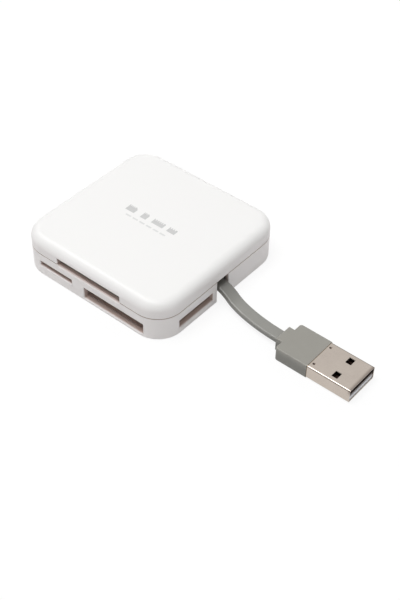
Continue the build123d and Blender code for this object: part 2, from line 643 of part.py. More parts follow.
# Four wires, from the strain relief up to the underside of the board.
with BuildPart() as cable_wires:
    for wire_y in row(4, WIRE_PITCH, notch_y):
        with BuildLine():
            Polyline(
                (relief_left, wire_y, cable_z),
                (relief_left - WIRE_REACH, wire_y, cable_z),
                (relief_left - WIRE_REACH, wire_y, board_low),
            )
        with BuildSketch(Plane.YZ.offset(relief_left)):
            with Locations((wire_y, cable_z)):
                RegularPolygon(WIRE_DIAMETER / 2, WIRE_SIDES)
        sweep(transition=Transition.RIGHT)

# Flat cable: from the strain relief out through the notch, down to the table and along it to the plug.
route = [
    Vector(relief_right, notch_y, cable_z),
    Vector(right - 3.0, notch_y, cable_z),
    Vector(right + 1.6, -0.25, 4.3),
    Vector(right + 7.6, -2.15, 2.6),
    Vector(right + 18.5, PLUG_Y, plug_z),
    Vector(plug_back, PLUG_Y, plug_z),
]
runs = [b - a for a, b in zip(route, route[1:])]
bends = [
    0.45 * min(a.length, b.length) / tan(radians(a.get_angle(b)) / 2) for a, b in zip(runs, runs[1:])
]
print("cable bend radii:", [round(r, 1) for r in bends])
with BuildPart() as cable:
    with BuildLine() as cable_line:
        FilletPolyline(*route, radius=bends)
    with BuildSketch(Plane.YZ.offset(relief_right)) as cable_section:
        with Locations((notch_y, cable_z)):
            Rectangle(CABLE_WIDTH, CABLE_THICKNESS)
        chamfer(cable_section.vertices(), CABLE_EDGE_BEVEL)
    sweep()
print("cable length:", round(sum(edge.length for edge in cable_line.edges()), 2))

# Plug grip: moulded on the cable's end, with a narrower neck and a pocket for the insulator's tail.
with BuildPart() as plug_grip:
    with BuildSketch() as grip_outline:
        with Locations(((grip_back + shell_back) / 2, PLUG_Y)):
            Rectangle(GRIP_LENGTH, GRIP_WIDTH)
        with Locations(((plug_back + grip_back) / 2, PLUG_Y)):
            Rectangle(NECK_LENGTH, NECK_WIDTH)
        neck_end, grip_end = grip_outline.vertices().group_by(Axis.X)[:2]
        fillet(grip_end.sort_by(Axis.Y)[:1] + grip_end.sort_by(Axis.Y)[-1:], GRIP_CORNER_RADIUS)
        fillet(neck_end, NECK_CORNER_RADIUS)
    extrude(amount=GRIP_HEIGHT)
    fillet(
        plug_grip.faces().sort_by(Axis.Z)[-1].edges().sort_by(Axis.X)[:-1]
        + plug_grip.faces().sort_by(Axis.Z)[0].edges().sort_by(Axis.X)[:-1],
        GRIP_EDGE_RADIUS,
    )
    with BuildSketch(Plane.YZ.offset(shell_back)):
        with Locations((PLUG_Y, plug_z)):
            Rectangle(PLUG_TAIL_WIDTH, PLUG_TAIL_HEIGHT)
    extrude(amount=-PLUG_TAIL_LENGTH, mode=Mode.SUBTRACT)

# Plug shell: folded sheet with its seam underneath, two latch holes above and below, two dents by the grip.
with BuildPart() as plug_shell:
    with BuildSketch(Plane.YZ.offset(shell_back)):
        with Locations((PLUG_Y, plug_z)):
            RectangleRounded(SHELL_WIDTH, SHELL_HEIGHT, SHELL_CORNER_RADIUS)
            RectangleRounded(
                inside_width,
                inside_height,
                SHELL_CORNER_RADIUS - SHELL_SHEET,
                mode=Mode.SUBTRACT,
            )
        with Locations((PLUG_Y, plug_z - SHELL_HEIGHT / 2)):
            Rectangle(SHELL_SEAM, 2 * SHELL_SHEET + FIT, mode=Mode.SUBTRACT)
    extrude(amount=SHELL_LENGTH)
    with BuildSketch():
        with Locations((shell_tip - LATCH_SETBACK, PLUG_Y)):
            with GridLocations(0, LATCH_SPACING, 1, 2):
                Rectangle(LATCH_LENGTH, LATCH_WIDTH)
    extrude(amount=GRIP_HEIGHT, mode=Mode.SUBTRACT)
    with Locations((shell_back + DENT_SETBACK, PLUG_Y, plug_z + SHELL_HEIGHT / 2 - DENT_DEPTH / 2)):
        with GridLocations(0, DENT_SPACING, 1, 2):
            Cone(DENT_FLOOR_RADIUS, DENT_RADIUS, DENT_DEPTH, mode=Mode.SUBTRACT)

# Plug insulator: a block that closes the shell's back, the tongue in front of it and a tail in the grip.
with BuildPart() as plug_insulator:
    with BuildSketch(Plane.YZ.offset(shell_back)):
        with Locations((PLUG_Y, plug_z)):
            RectangleRounded(
                inside_width - 2 * FIT,
                inside_height - 2 * FIT,
                SHELL_CORNER_RADIUS - SHELL_SHEET,
            )
    extrude(amount=PLUG_BLOCK_LENGTH)
    with BuildSketch(Plane.YZ.offset(block_front)):
        with Locations((PLUG_Y, tongue_top - (TONGUE_THICKNESS - FIT) / 2)):
            RectangleRounded(
                inside_width - 2 * FIT,
                TONGUE_THICKNESS - FIT,
                SHELL_CORNER_RADIUS - SHELL_SHEET,
            )
    extrude(amount=tongue_tip - block_front)
    with BuildSketch(Plane.YZ.offset(shell_back)):
        with Locations((PLUG_Y, plug_z)):
            Rectangle(PLUG_TAIL_WIDTH - 2 * FIT, PLUG_TAIL_HEIGHT - 2 * FIT)
    extrude(amount=-(PLUG_TAIL_LENGTH - FIT))

# Plug contacts: four strips on the tongue, the outer two longer.
with BuildPart() as plug_contacts:
    for spacing, setback in (
        (PIN_OUTER_SPACING, PIN_SETBACK),
        (PIN_INNER_SPACING, PIN_SETBACK + PIN_STAGGER),
    ):
        pin_tip = tongue_tip - setback
        with BuildSketch(Plane.XY.offset(tongue_top)):
            with Locations(((block_front + pin_tip) / 2, PLUG_Y)):
                with GridLocations(0, spacing, 1, 2):
                    Rectangle(pin_tip - block_front, PIN_WIDTH)
        extrude(amount=PIN_THICKNESS)

pieces = {
    "top_cover": top_cover,
    "bottom_housing": bottom_housing,
    "circuit_board": circuit_board,
    "large_socket_base": large_socket_base,
    "large_socket_cover": large_socket_cover,
    "large_socket_contacts": large_socket_contacts,
    "micro_socket_base": micro_socket_base,
    "micro_socket_cover": micro_socket_cover,
    "micro_socket_contacts": micro_socket_contacts,
    "stick_socket_frame": stick_socket_frame,
    "stick_contacts": stick_contacts,
    "short_stick_contacts": short_stick_contacts,
    "controller_chip": controller_chip,
    "controller_leads": controller_leads,
    "crystal": crystal,
    "capacitors": capacitors,
    "resistors": resistors,
    "strain_relief": strain_relief,
    "cable_wires": cable_wires,
    "cable": cable,
    "plug_grip": plug_grip,
    "plug_shell": plug_shell,
    "plug_insulator": plug_insulator,
    "plug_contacts": plug_contacts,
}
for name, piece in pieces.items():
    piece.part.label = name
    export_step(piece.part, f"parts/{name}.step")
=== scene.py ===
"""A memory card reader with a short flat cable and a plug, on a white table, dressed in its real finishes.

Lengths are in metres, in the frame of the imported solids: +Z up, the front towards -Y, the cable towards +X.
"""

import math

import bmesh
import bpy
from mathutils import Matrix, Quaternion, Vector


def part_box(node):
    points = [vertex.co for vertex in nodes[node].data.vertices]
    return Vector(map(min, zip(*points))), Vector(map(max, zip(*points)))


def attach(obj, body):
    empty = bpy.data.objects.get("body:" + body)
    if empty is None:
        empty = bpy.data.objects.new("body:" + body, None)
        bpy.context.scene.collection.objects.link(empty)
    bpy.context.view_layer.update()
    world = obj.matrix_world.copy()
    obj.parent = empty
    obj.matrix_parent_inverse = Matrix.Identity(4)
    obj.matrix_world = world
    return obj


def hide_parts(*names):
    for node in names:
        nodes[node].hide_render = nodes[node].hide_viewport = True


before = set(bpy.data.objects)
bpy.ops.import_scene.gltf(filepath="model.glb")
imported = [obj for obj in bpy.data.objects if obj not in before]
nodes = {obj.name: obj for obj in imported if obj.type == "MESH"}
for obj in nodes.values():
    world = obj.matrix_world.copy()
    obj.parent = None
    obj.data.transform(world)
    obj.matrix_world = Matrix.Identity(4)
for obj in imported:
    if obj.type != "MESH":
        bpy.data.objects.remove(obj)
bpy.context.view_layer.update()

# Bottom housing
# The lower half of the case: a tray with card slots in its walls and a recess for the plug in its underside.
# It is injection moulded in white ABS with a soft gloss, and the top cover's pegs press into its bosses.


class Value:
    """A socket in a material. Arithmetic on it adds Math nodes, and node() adds any other node."""

    def __init__(self, tree, socket):
        self.tree = tree
        self.socket = socket

    def node(self, kind, settings, sockets, output=0):
        """A new node: its settings first, then the values or links of its sockets, named by identifier."""
        made = self.tree.nodes.new("ShaderNode" + kind)
        for name, setting in settings.items():
            setattr(made, name, setting)
        for identifier, value in sockets.items():
            target = next(s for s in made.inputs if s.identifier == identifier)
            if isinstance(value, Value):
                self.tree.links.new(value.socket, target)
            else:
                target.default_value = value
        return Value(self.tree, made.outputs[output])

    def math(self, operation, first, second=0.0):
        return self.node("Math", {"operation": operation}, {"Value": first, "Value_001": second})

    def __add__(self, other):
        return self.math("ADD", self, other)

    def __sub__(self, other):
        return self.math("SUBTRACT", self, other)

    def __rsub__(self, other):
        return self.math("SUBTRACT", other, self)

    def __mul__(self, other):
        return self.math("MULTIPLY", self, other)

    def __abs__(self):
        return self.math("ABSOLUTE", self)

    __radd__ = __add__
    __rmul__ = __mul__

    def along(self, axis):
        """One coordinate of a vector."""
        return self.node("SeparateXYZ", {}, {"Vector": self}, axis)

    def stretched(self, x, y, z):
        """A vector scaled along each axis."""
        return self.node("Mapping", {}, {"Vector": self, "Scale": (x, y, z)})

    def noise(self, per_metre, detail=3.0):
        """Soft noise from 0 to 1 at this place."""
        return self.node("TexNoise", {}, {"Vector": self, "Scale": per_metre, "Detail": detail})

    def rise(self, start, end):
        """0 below start, 1 above end and a smooth step between."""
        limits = {"From Min": start, "From Max": end}
        return self.node("MapRange", {"interpolation_type": "SMOOTHSTEP"}, {"Value": self, **limits})

    def tint(self, colour, other):
        """The first colour where this is 0, the other where it is 1."""
        sockets = {"Factor_Float": self, "A_Color": colour, "B_Color": other}
        return self.node("Mix", {"data_type": "RGBA"}, sockets, 2)

    def relief(self, depth):
        """A normal for a surface that is as high as this, times depth."""
        return self.node("Bump", {}, {"Strength": 1.0, "Distance": depth, "Height": self})


def finish(name, look):
    """A material. look takes its Object coordinates and gives the values of the Principled shader."""
    material = bpy.data.materials.new(name)
    material.use_nodes = True
    tree = material.node_tree
    shader = tree.nodes["Principled BSDF"]
    place = Value(tree, tree.nodes.new("ShaderNodeTexCoord").outputs["Object"])
    for socket, value in look(place).items():
        if isinstance(value, Value):
            tree.links.new(value.socket, shader.inputs[socket])
        else:
            shader.inputs[socket].default_value = value
    return material


def dress(material, *names):
    """Puts the material on these solids."""
    for name in names:
        mesh = nodes[name].data
        mesh.materials.clear()
        mesh.materials.append(material)


case_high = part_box("bottom_housing")[1]
cover_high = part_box("top_cover")[1]
case_corner = 0.0085
slot_lowest = 0.0011
slot_highest = 0.0105
slot_blend = 0.0003
seam_gap = 0.00022
seam_blend = 0.0001
notch_middle = -0.00035
notch_width = 0.0053
groove_depth = 0.0036
# Depths in from the outline of the case, where a painted shade starts and where it is full.
mouth_painted_shade = (0.00005, 0.0006)
deep_painted_shade = (0.0012, 0.0028)
slot_end = (0.0046, 0.0052)
notch_painted_shade = (0.0004, 0.0016)
notch_end = (0.0076, 0.0080)
seam_end = (0.0006, 0.0008)
# Heights, where the painted shade of the sides gives way to the top's tone, and where the notch is above the
# groove.
side_painted_shade = (cover_high[2] - 0.0034, cover_high[2] - 0.0004)
groove_blend = (groove_depth - 0.0002, groove_depth + 0.0006)


def inset_in_case(place):
    """How far a point lies inside the rounded outline of the case."""
    beyond_x = abs(place.along(0)) - (case_high[0] - case_corner)
    beyond_y = abs(place.along(1)) - (case_high[1] - case_corner)
    corner_x = place.math("MAXIMUM", beyond_x, 0.0)
    corner_y = place.math("MAXIMUM", beyond_y, 0.0)
    corner = place.math("SQRT", corner_x * corner_x + corner_y * corner_y)
    return case_corner - corner - place.math("MINIMUM", place.math("MAXIMUM", beyond_x, beyond_y), 0.0)


def white_plastic(place):
    inset = inset_in_case(place)
    height = place.along(2)
    # Painted shade darkens the slots' inner walls: warm near the mouth, brown further in.
    slots = height.rise(slot_lowest - slot_blend, slot_lowest)
    slots = slots * (1 - height.rise(slot_highest, slot_highest + slot_blend))
    beside_notch = abs(place.along(1) - notch_middle).rise(0.52 * notch_width, 0.56 * notch_width)
    above_groove = height.rise(*groove_blend)
    slots = slots * place.math("MAXIMUM", beside_notch, above_groove) * (1 - inset.rise(*slot_end))
    mouth = slots * inset.rise(*mouth_painted_shade)
    depth = slots * inset.rise(*deep_painted_shade)
    # Painted shade darkens the notch below the seam, where the cable comes out of it.
    below_seam = 1 - height.rise(case_high[2], case_high[2] + seam_blend)
    notch = (1 - beside_notch) * above_groove * below_seam
    notch = notch * inset.rise(*notch_painted_shade) * (1 - inset.rise(*notch_end))
    # Painted shade darkens the gap of the seam.
    seam = height.rise(case_high[2] - 1.2 * seam_gap, case_high[2] - seam_gap)
    seam = seam * (1 - height.rise(case_high[2], case_high[2] + 0.2 * seam_gap))
    seam = seam * (1 - inset.rise(*seam_end))
    cloud = place.noise(70.0)
    # Painted shade: the sides of the case are tinted darker and warmer than its top.
    side = 1 - height.rise(*side_painted_shade)
    colour = cloud.tint((0.905, 0.900, 0.890, 1.0), (0.898, 0.892, 0.881, 1.0))
    colour = side.tint(colour, (0.905, 0.872, 0.862, 1.0))
    colour = mouth.tint(colour, (0.66, 0.53, 0.48, 1.0))
    colour = depth.tint(colour, (0.20, 0.145, 0.125, 1.0))
    colour = notch.tint(colour, (0.04, 0.027, 0.022, 1.0))
    return {
        "Base Color": seam.tint(colour, (0.56, 0.455, 0.40, 1.0)),
        "Roughness": 0.36 + 0.07 * cloud,
        "IOR": 1.53,
        "Specular IOR Level": 0.25,
        "Normal": place.noise(2600.0).relief(0.000004),
    }


case_white = finish("case white", white_plastic)
dress(case_white, "bottom_housing")

# Circuit board
# A glass-fibre board that the bosses carry, green with solder mask over etched copper tracks.
# Both sides have card sockets soldered on them.


def solder_mask(place):
    tracks = place.stretched(1.0, 0.25, 1.0).noise(620.0, 0.0).rise(0.52, 0.55)
    weave = place.noise(1800.0)
    return {
        "Base Color": tracks.tint((0.012, 0.115, 0.045, 1.0), (0.03, 0.20, 0.085, 1.0)),
        "Roughness": 0.32 + 0.12 * weave,
        "Normal": tracks.relief(0.00003),
    }


dress(finish("solder mask", solder_mask), "circuit_board")

# Card sockets
# Moulded channels in glass-filled plastic, black or brown, one above the board and two below it.
# Folded steel covers close the upper and the micro one, and rows of gold-plated springs meet the cards.


def socket_plastic(place):
    fibres = place.stretched(1.0, 6.0, 1.0).noise(900.0)
    return {
        "Base Color": fibres.tint((0.018, 0.014, 0.013, 1.0), (0.036, 0.029, 0.026, 1.0)),
        "Roughness": 0.48 + 0.14 * fibres,
        "Normal": fibres.relief(0.00001),
    }


# Depths in from the outline of the case, where the frame's painted shade starts and where it is darkest.
frame_painted_shade = (0.0022, 0.0068)


def frame_plastic(place):
    """The stick sockets' frame, brown, with painted shade that darkens it further in from the outline of the
    case.
    """
    fibres = place.stretched(1.0, 6.0, 1.0).noise(900.0)
    brown = fibres.tint((0.50, 0.375, 0.325, 1.0), (0.54, 0.41, 0.36, 1.0))
    return {
        "Base Color": inset_in_case(place).rise(*frame_painted_shade).tint(brown, (0.08, 0.054, 0.045, 1.0)),
        "Roughness": 0.48 + 0.14 * fibres,
        "Normal": fibres.relief(0.00001),
    }


def rolled_steel(place):
    rolling = place.stretched(1.0, 0.04, 1.0).noise(2400.0)
    return {
        "Base Color": rolling.tint((0.52, 0.52, 0.51, 1.0), (0.62, 0.62, 0.61, 1.0)),
        "Metallic": 1.0,
        "Roughness": 0.28 + 0.14 * rolling,
        "Normal": rolling.relief(0.000003),
    }


def gold_plate(place):
    wear = place.noise(700.0)
    return {
        "Base Color": wear.tint((0.80, 0.55, 0.20, 1.0), (0.70, 0.49, 0.21, 1.0)),
        "Metallic": 1.0,
        "Roughness": 0.22 + 0.12 * wear,
    }


dress(finish("socket plastic", socket_plastic), "large_socket_base", "micro_socket_base")
dress(finish("frame plastic", frame_plastic), "stick_socket_frame")
dress(finish("rolled steel", rolled_steel), "large_socket_cover", "micro_socket_cover")
dress(
    finish("contact gold", gold_plate),
    "large_socket_contacts",
    "micro_socket_contacts",
    "stick_contacts",
    "short_stick_contacts",
)

# Parts on the board
# The controller in its epoxy body with tinned leads, a crystal in a drawn can, and small chip capacitors
# and resistors. All are soldered to the top of the board, behind the upper socket.


def epoxy(place):
    filler = place.noise(5200.0)
    return {
        "Base Color": filler.tint((0.010, 0.010, 0.011, 1.0), (0.024, 0.024, 0.025, 1.0)),
        "Roughness": 0.62 + 0.12 * filler,
        "Normal": filler.relief(0.000008),
    }


def tin_plate(place):
    dull = place.noise(1500.0)
    return {
        "Base Color": dull.tint((0.56, 0.56, 0.55, 1.0), (0.66, 0.66, 0.65, 1.0)),
        "Metallic": 1.0,
        "Roughness": 0.30 + 0.16 * dull,
    }


def ceramic(place):
    speck = place.noise(4200.0)
    return {
        "Base Color": speck.tint((0.27, 0.16, 0.085, 1.0), (0.34, 0.21, 0.12, 1.0)),
        "Roughness": 0.42 + 0.12 * speck,
    }


dress(finish("epoxy black", epoxy), "controller_chip", "resistors")
dress(finish("tin plate", tin_plate), "controller_leads", "crystal")
dress(finish("ceramic tan", ceramic), "capacitors")

# Strain relief and wires
# A block moulded on the end of the cable, held between ribs of the tray.
# The four wires in their coloured jackets go on from it up to the board.


def relief_plastic(place):
    cloud = place.noise(400.0)
    return {
        "Base Color": cloud.tint((0.29, 0.285, 0.27, 1.0), (0.32, 0.315, 0.30, 1.0)),
        "Roughness": 0.46 + 0.08 * cloud,
    }


wires_low, wires_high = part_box("cable_wires")
wire_colours = (
    (0.015, 0.015, 0.016, 1.0),
    (0.03, 0.26, 0.09, 1.0),
    (0.78, 0.77, 0.75, 1.0),
    (0.50, 0.03, 0.025, 1.0),
)
wire_step = (wires_high[1] - wires_low[1]) / len(wire_colours)


def wire_jackets(place):
    """Black, green, white and red, side by side along Y."""
    across = place.along(1)
    colour = wire_colours[0]
    for number, following in enumerate(wire_colours[1:], start=1):
        start = wires_low[1] + (number - 0.02) * wire_step
        end = wires_low[1] + (number + 0.02) * wire_step
        colour = across.rise(start, end).tint(colour, following)
    return {"Base Color": colour, "Roughness": 0.36 + 0.08 * place.noise(900.0)}


dress(finish("relief plastic", relief_plastic), "strain_relief")
dress(finish("wire jackets", wire_jackets), "cable_wires")

# Cable
# A short flat cable with a grey PVC jacket, extruded round four wires.
# It leaves the notch in the right side, drops to the table and runs along it to the plug.
cable_width = 0.0042
cable_thickness = 0.0019
cable_edge = 0.0006
edge_steps = 6
# Where along X the painted shade of the bend fades out, and how high in the section the sides' painted shade
# does.
bend_painted_shade = (0.0305, 0.0370)
side_blend = (0.30, 0.65)
cable_route = [
    (0.0205, notch_middle, 0.0054),
    (0.0250, notch_middle, 0.0054),
    (0.0296, -0.00025, 0.0043),
    (0.0356, -0.00215, 0.0026),
    (0.0465, -0.0039, 0.00235),
    (0.0525, -0.0039, 0.00235),
]

route_curve = bpy.data.curves.new("cable route", "CURVE")
route_curve.dimensions = "3D"
route_curve.resolution_u = 24
spline = route_curve.splines.new("NURBS")
spline.points.add(len(cable_route) - 1)
for point, place in zip(spline.points, cable_route):
    point.co = (*place, 1.0)
spline.order_u = 3
spline.use_endpoint_u = True
route_object = bpy.data.objects.new("cable route", route_curve)
bpy.context.scene.collection.objects.link(route_object)
route_line = bpy.data.meshes.new_from_object(route_object)
cable_path = [vertex.co.copy() for vertex in route_line.vertices]
bpy.data.objects.remove(route_object)
bpy.data.meshes.remove(route_line)

# The jacket's outline across the cable, with its edges rounded.
outline = []
for quarter in range(4):
    out_x = 1 if quarter in (0, 3) else -1
    out_z = 1 if quarter in (0, 1) else -1
    for part in range(edge_steps + 1):
        turn = math.radians(90 * quarter + 90 / edge_steps * part)
        outline.append(
            (
                out_x * (cable_width / 2 - cable_edge) + cable_edge * math.cos(turn),
                out_z * (cable_thickness / 2 - cable_edge) + cable_edge * math.sin(turn),
            )
        )

# The jacket follows the route, and each point of it keeps how high it is in the section, from -1 to 1.
jacket = bmesh.new()
rise_layer = jacket.verts.layers.float.new("rise")
rings = []
for i, centre in enumerate(cable_path):
    ahead = cable_path[min(i + 1, len(cable_path) - 1)] - cable_path[max(i - 1, 0)]
    across = Vector((0, 0, 1)).cross(ahead).normalized()
    up = ahead.cross(across).normalized()
    rings.append([jacket.verts.new(centre - aside * across + high * up) for aside, high in outline])
    for vertex, (aside, high) in zip(rings[-1], outline):
        vertex[rise_layer] = 2 * high / cable_thickness
for ring, following in zip(rings, rings[1:]):
    for k in range(len(outline)):
        face = (ring[k], ring[k - 1], following[k - 1], following[k])
        jacket.faces.new(face).smooth = True
jacket.faces.new(rings[0])
jacket.faces.new(reversed(rings[-1]))
bmesh.ops.recalc_face_normals(jacket, faces=jacket.faces)
cable_mesh = bpy.data.meshes.new("cable jacket")
jacket.to_mesh(cable_mesh)
jacket.free()
cable = bpy.data.objects.new("cable_jacket", cable_mesh)
bpy.context.scene.collection.objects.link(cable)


def soft_pvc(place):
    drawn = place.stretched(0.06, 1.0, 1.0).noise(2600.0)
    cloud = place.noise(260.0)
    colour = cloud.tint((0.266, 0.262, 0.242, 1.0), (0.294, 0.290, 0.268, 1.0))
    # Painted shade darkens the jacket where it bends down out of the notch.
    bend_shaded = 1 - place.along(0).rise(*bend_painted_shade)
    colour = bend_shaded.tint(colour, (0.192, 0.189, 0.174, 1.0))
    # Painted shade: the sides of the jacket are darker than its top.
    side = 1 - place.node("Attribute", {"attribute_name": "rise"}, {}, 2).rise(*side_blend)
    return {
        "Base Color": side.tint(colour, (0.205, 0.201, 0.184, 1.0)),
        "Roughness": 0.14 + 0.05 * drawn,
        "IOR": 1.52,
        "Normal": drawn.relief(0.000005),
    }


cable_mesh.materials.append(finish("cable PVC", soft_pvc))
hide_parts("cable")
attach(cable, "root")

# Plug
# A grey PVC grip moulded over the end of the cable, and a folded, nickel-plated steel shell.
# Inside the shell a white tongue carries four gold-plated strips.
# Heights on the grip, where the painted shade of its lower half fades out.
grip_painted_shade = (0.0024, 0.0046)


def grip_pvc(place):
    spark = place.noise(5200.0)
    cloud = place.noise(180.0)
    colour = cloud.tint((0.282, 0.272, 0.242, 1.0), (0.308, 0.298, 0.268, 1.0))
    # Painted shade: the lower half of the grip is darker.
    low = 1 - place.along(2).rise(*grip_painted_shade)
    return {
        "Base Color": low.tint(colour, (0.222, 0.216, 0.196, 1.0)),
        "Roughness": 0.42 + 0.10 * spark,
        "IOR": 1.52,
        "Normal": spark.relief(0.00001),
    }


shell_low, shell_high = (Vector(corner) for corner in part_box("plug_shell"))
shell_middle = (shell_low + shell_high) / 2
shell_sheet = 0.0003
tongue_thickness = 0.0021
tongue_high = shell_low[2] + shell_sheet + tongue_thickness
# Places along the shell and heights on the tongue, where a painted shade starts and where it is full.
grip_edge = (shell_low[0] + 0.00008, shell_low[0] + 0.00022)
shell_lip = (shell_high[0] - 0.0011, shell_high[0] + 0.0002)
shell_mouth = (shell_high[0] - 0.0009, shell_high[0] - 0.0001)
tongue_tip = (shell_high[0] - 0.0006, shell_high[0] - 0.00027)
tongue_shade = (tongue_high - 0.0013, tongue_high - 0.0003)
dent_setback = 0.0010
dent_spacing = 0.0079
dent_radius = 0.00045
latch_setback = 0.0062
latch_length = 0.0019
latch_reach = 0.0047


def nickel(place):
    rolling = place.stretched(0.05, 1.0, 1.0).noise(3000.0)
    handled = place.noise(320.0)
    along = place.along(0)
    across = place.along(1)
    height = place.along(2)
    upper_half = height.rise(shell_middle[2], shell_high[2])
    colour = handled.tint((0.590, 0.522, 0.462, 1.0), (0.520, 0.458, 0.404, 1.0))
    # Painted shade darkens the plating in the two dents, along the edge of the grip, at the upper lip and
    # inside the shell.
    dent_x = along - (shell_low[0] + dent_setback - 0.2 * dent_radius)
    dent_y = abs(across - shell_middle[1]) - dent_spacing / 2
    dent = place.math("SQRT", dent_x * dent_x + dent_y * dent_y)
    # dull is the mask of the painted shade in the dents.
    dull = (1 - dent.rise(0.6 * dent_radius, 0.95 * dent_radius)) * upper_half
    colour = dull.tint(colour, (0.10, 0.072, 0.06, 1.0))
    edge = 1 - along.rise(*grip_edge)
    colour = edge.tint(colour, (0.30, 0.22, 0.15, 1.0))
    lip = along.rise(*shell_lip) * upper_half
    colour = lip.tint(colour, (0.25, 0.205, 0.175, 1.0))
    inside_y = shell_high[1] - shell_middle[1] - abs(across - shell_middle[1])
    inside_z = shell_high[2] - shell_middle[2] - abs(height - shell_middle[2])
    inside = place.math("MINIMUM", inside_y, inside_z).rise(0.5 * shell_sheet, 0.9 * shell_sheet)
    inside = inside * (1 - along.rise(*shell_mouth))
    colour = inside.tint(colour, (0.10, 0.072, 0.06, 1.0))
    # The cut edges of the latch holes are bare steel, and their pale matt colour is a painted highlight.
    cut = 1 - abs(along - (shell_high[0] - latch_setback)).rise(0.55 * latch_length, 0.6 * latch_length)
    cut = cut * (1 - abs(across - shell_middle[1]).rise(latch_reach, 1.05 * latch_reach))
    cut = cut * height.rise(shell_high[2] - shell_sheet, shell_high[2] - 0.8 * shell_sheet)
    cut = cut * (1 - height.rise(shell_high[2] - 0.1 * shell_sheet, shell_high[2] - 0.03 * shell_sheet))
    return {
        "Base Color": cut.tint(colour, (0.70, 0.63, 0.56, 1.0)),
        "Metallic": 1 - 0.9 * cut,
        "Roughness": 0.11 + 0.06 * rolling + 0.05 * handled,
        "Normal": rolling.relief(0.000004),
    }


def shaded_inside(place, colour):
    """A colour with painted shade that goes to dark brown further in from the mouth of the shell, and higher
    up in it.
    """
    inward = 1 - place.along(0).rise(*tongue_tip)
    upward = place.along(2).rise(*tongue_shade)
    return place.math("MAXIMUM", inward, upward).tint(colour, (0.062, 0.036, 0.028, 1.0))


def tongue_plastic(place):
    cloud = place.noise(420.0)
    white = cloud.tint((0.88, 0.90, 0.94, 1.0), (0.90, 0.92, 0.96, 1.0))
    return {
        "Base Color": shaded_inside(place, white),
        "Roughness": 0.34 + 0.08 * cloud,
    }


def plug_gold(place):
    wear = place.noise(700.0)
    gold = wear.tint((0.80, 0.55, 0.20, 1.0), (0.70, 0.49, 0.21, 1.0))
    return {
        "Base Color": shaded_inside(place, gold),
        "Metallic": 1.0,
        "Roughness": 0.24 + 0.12 * wear,
    }


dress(finish("grip PVC", grip_pvc), "plug_grip")
dress(finish("nickel plate", nickel), "plug_shell")
dress(finish("tongue white", tongue_plastic), "plug_insulator")
dress(finish("plug gold", plug_gold), "plug_contacts")

# Top cover
# The upper half of the case, moulded in the same white ABS, with a generous radius round its top edge.
# Two pale grey rows are pad printed in the middle of it: signs of four kinds of card, and dashes below them.
dress(case_white, "top_cover")

sign_pitch = 0.0053
dash_count = 6
dash_pitch = 0.0027
dash_size = (0.0020, 0.0006)
print_middle = Vector((-0.0006, 0.0010, cover_high[2]))
dash_drop = 0.0030
ink_height = 0.000012
contact_depth = 0.0005
# Each card sign has a width, a height, a cut corner and a number of gaps between contacts.
card_signs = (
    (0.0034, 0.0026, 0.0008, 4),
    (0.0022, 0.0026, 0.0006, 3),
    (0.0044, 0.0021, 0.0003, 5),
    (0.0030, 0.0021, 0.0003, 3),
)


def card_outline(width, height, cut, gaps):
    """Points round a card that lies with its contacts, and the gaps between them, at the top."""
    points = [(-width / 2, -height / 2), (width / 2, -height / 2), (width / 2, height / 2 - cut)]
    step = (width - cut) / (2 * gaps + 1)
    for gap in range(gaps):
        start = width / 2 - cut - 2 * gap * step
        for x, drop in ((start, 0), (start - step, 0), (start - step, 1), (start - 2 * step, 1)):
            points.append((x, height / 2 - drop * contact_depth))
    return points + [(-width / 2 + step, height / 2), (-width / 2, height / 2)]


def dash_outline(width, height):
    """Points round a plain dash."""
    return [(x * width / 2, y * height / 2) for x, y in ((-1, -1), (1, -1), (1, 1), (-1, 1))]


def inked(name, outlines):
    """A collection of flat printed shapes of the ink's thickness, each from the points round its outline."""
    shapes = bpy.data.collections.new(name)
    for number, outline in enumerate(outlines):
        ink = bmesh.new()
        face = ink.faces.new([ink.verts.new((x, y, 0.0)) for x, y in outline])
        raised = bmesh.ops.extrude_face_region(ink, geom=[face])["geom"]
        tops = [v for v in raised if isinstance(v, bmesh.types.BMVert)]
        bmesh.ops.translate(ink, vec=(0, 0, ink_height), verts=tops)
        bmesh.ops.recalc_face_normals(ink, faces=ink.faces)
        mesh = bpy.data.meshes.new(f"{name} {number}")
        ink.to_mesh(mesh)
        ink.free()
        shapes.objects.link(bpy.data.objects.new(mesh.name, mesh))
    return shapes


def ink(dark, light):
    """A printing ink whose cover varies between two greys."""

    def look(place):
        cover = place.noise(1400.0)
        return {"Base Color": cover.tint((*dark, 1.0), (*light, 1.0)), "Roughness": 0.5 + 0.08 * cover}

    return look


# One tree sets out a row: the shapes of a collection are placed in turn on the points of a line.
row_tree = bpy.data.node_groups.new("printed row", "GeometryNodeTree")
row_tree.is_modifier = True
inputs = {}
for name, kind in (
    ("Shapes", "Collection"),
    ("Count", "Int"),
    ("Pitch", "Float"),
    ("Start", "Vector"),
    ("Ink", "Material"),
):
    socket = row_tree.interface.new_socket(name, in_out="INPUT", socket_type="NodeSocket" + kind)
    inputs[name] = socket.identifier
row_tree.interface.new_socket("Geometry", in_out="OUTPUT", socket_type="NodeSocketGeometry")
given = row_tree.nodes.new("NodeGroupInput")
step = row_tree.nodes.new("ShaderNodeCombineXYZ")
line = row_tree.nodes.new("GeometryNodeMeshLine")
shapes = row_tree.nodes.new("GeometryNodeCollectionInfo")
shapes.inputs["Separate Children"].default_value = True
placed = row_tree.nodes.new("GeometryNodeInstanceOnPoints")
placed.inputs["Pick Instance"].default_value = True
real = row_tree.nodes.new("GeometryNodeRealizeInstances")
coloured = row_tree.nodes.new("GeometryNodeSetMaterial")
result = row_tree.nodes.new("NodeGroupOutput")
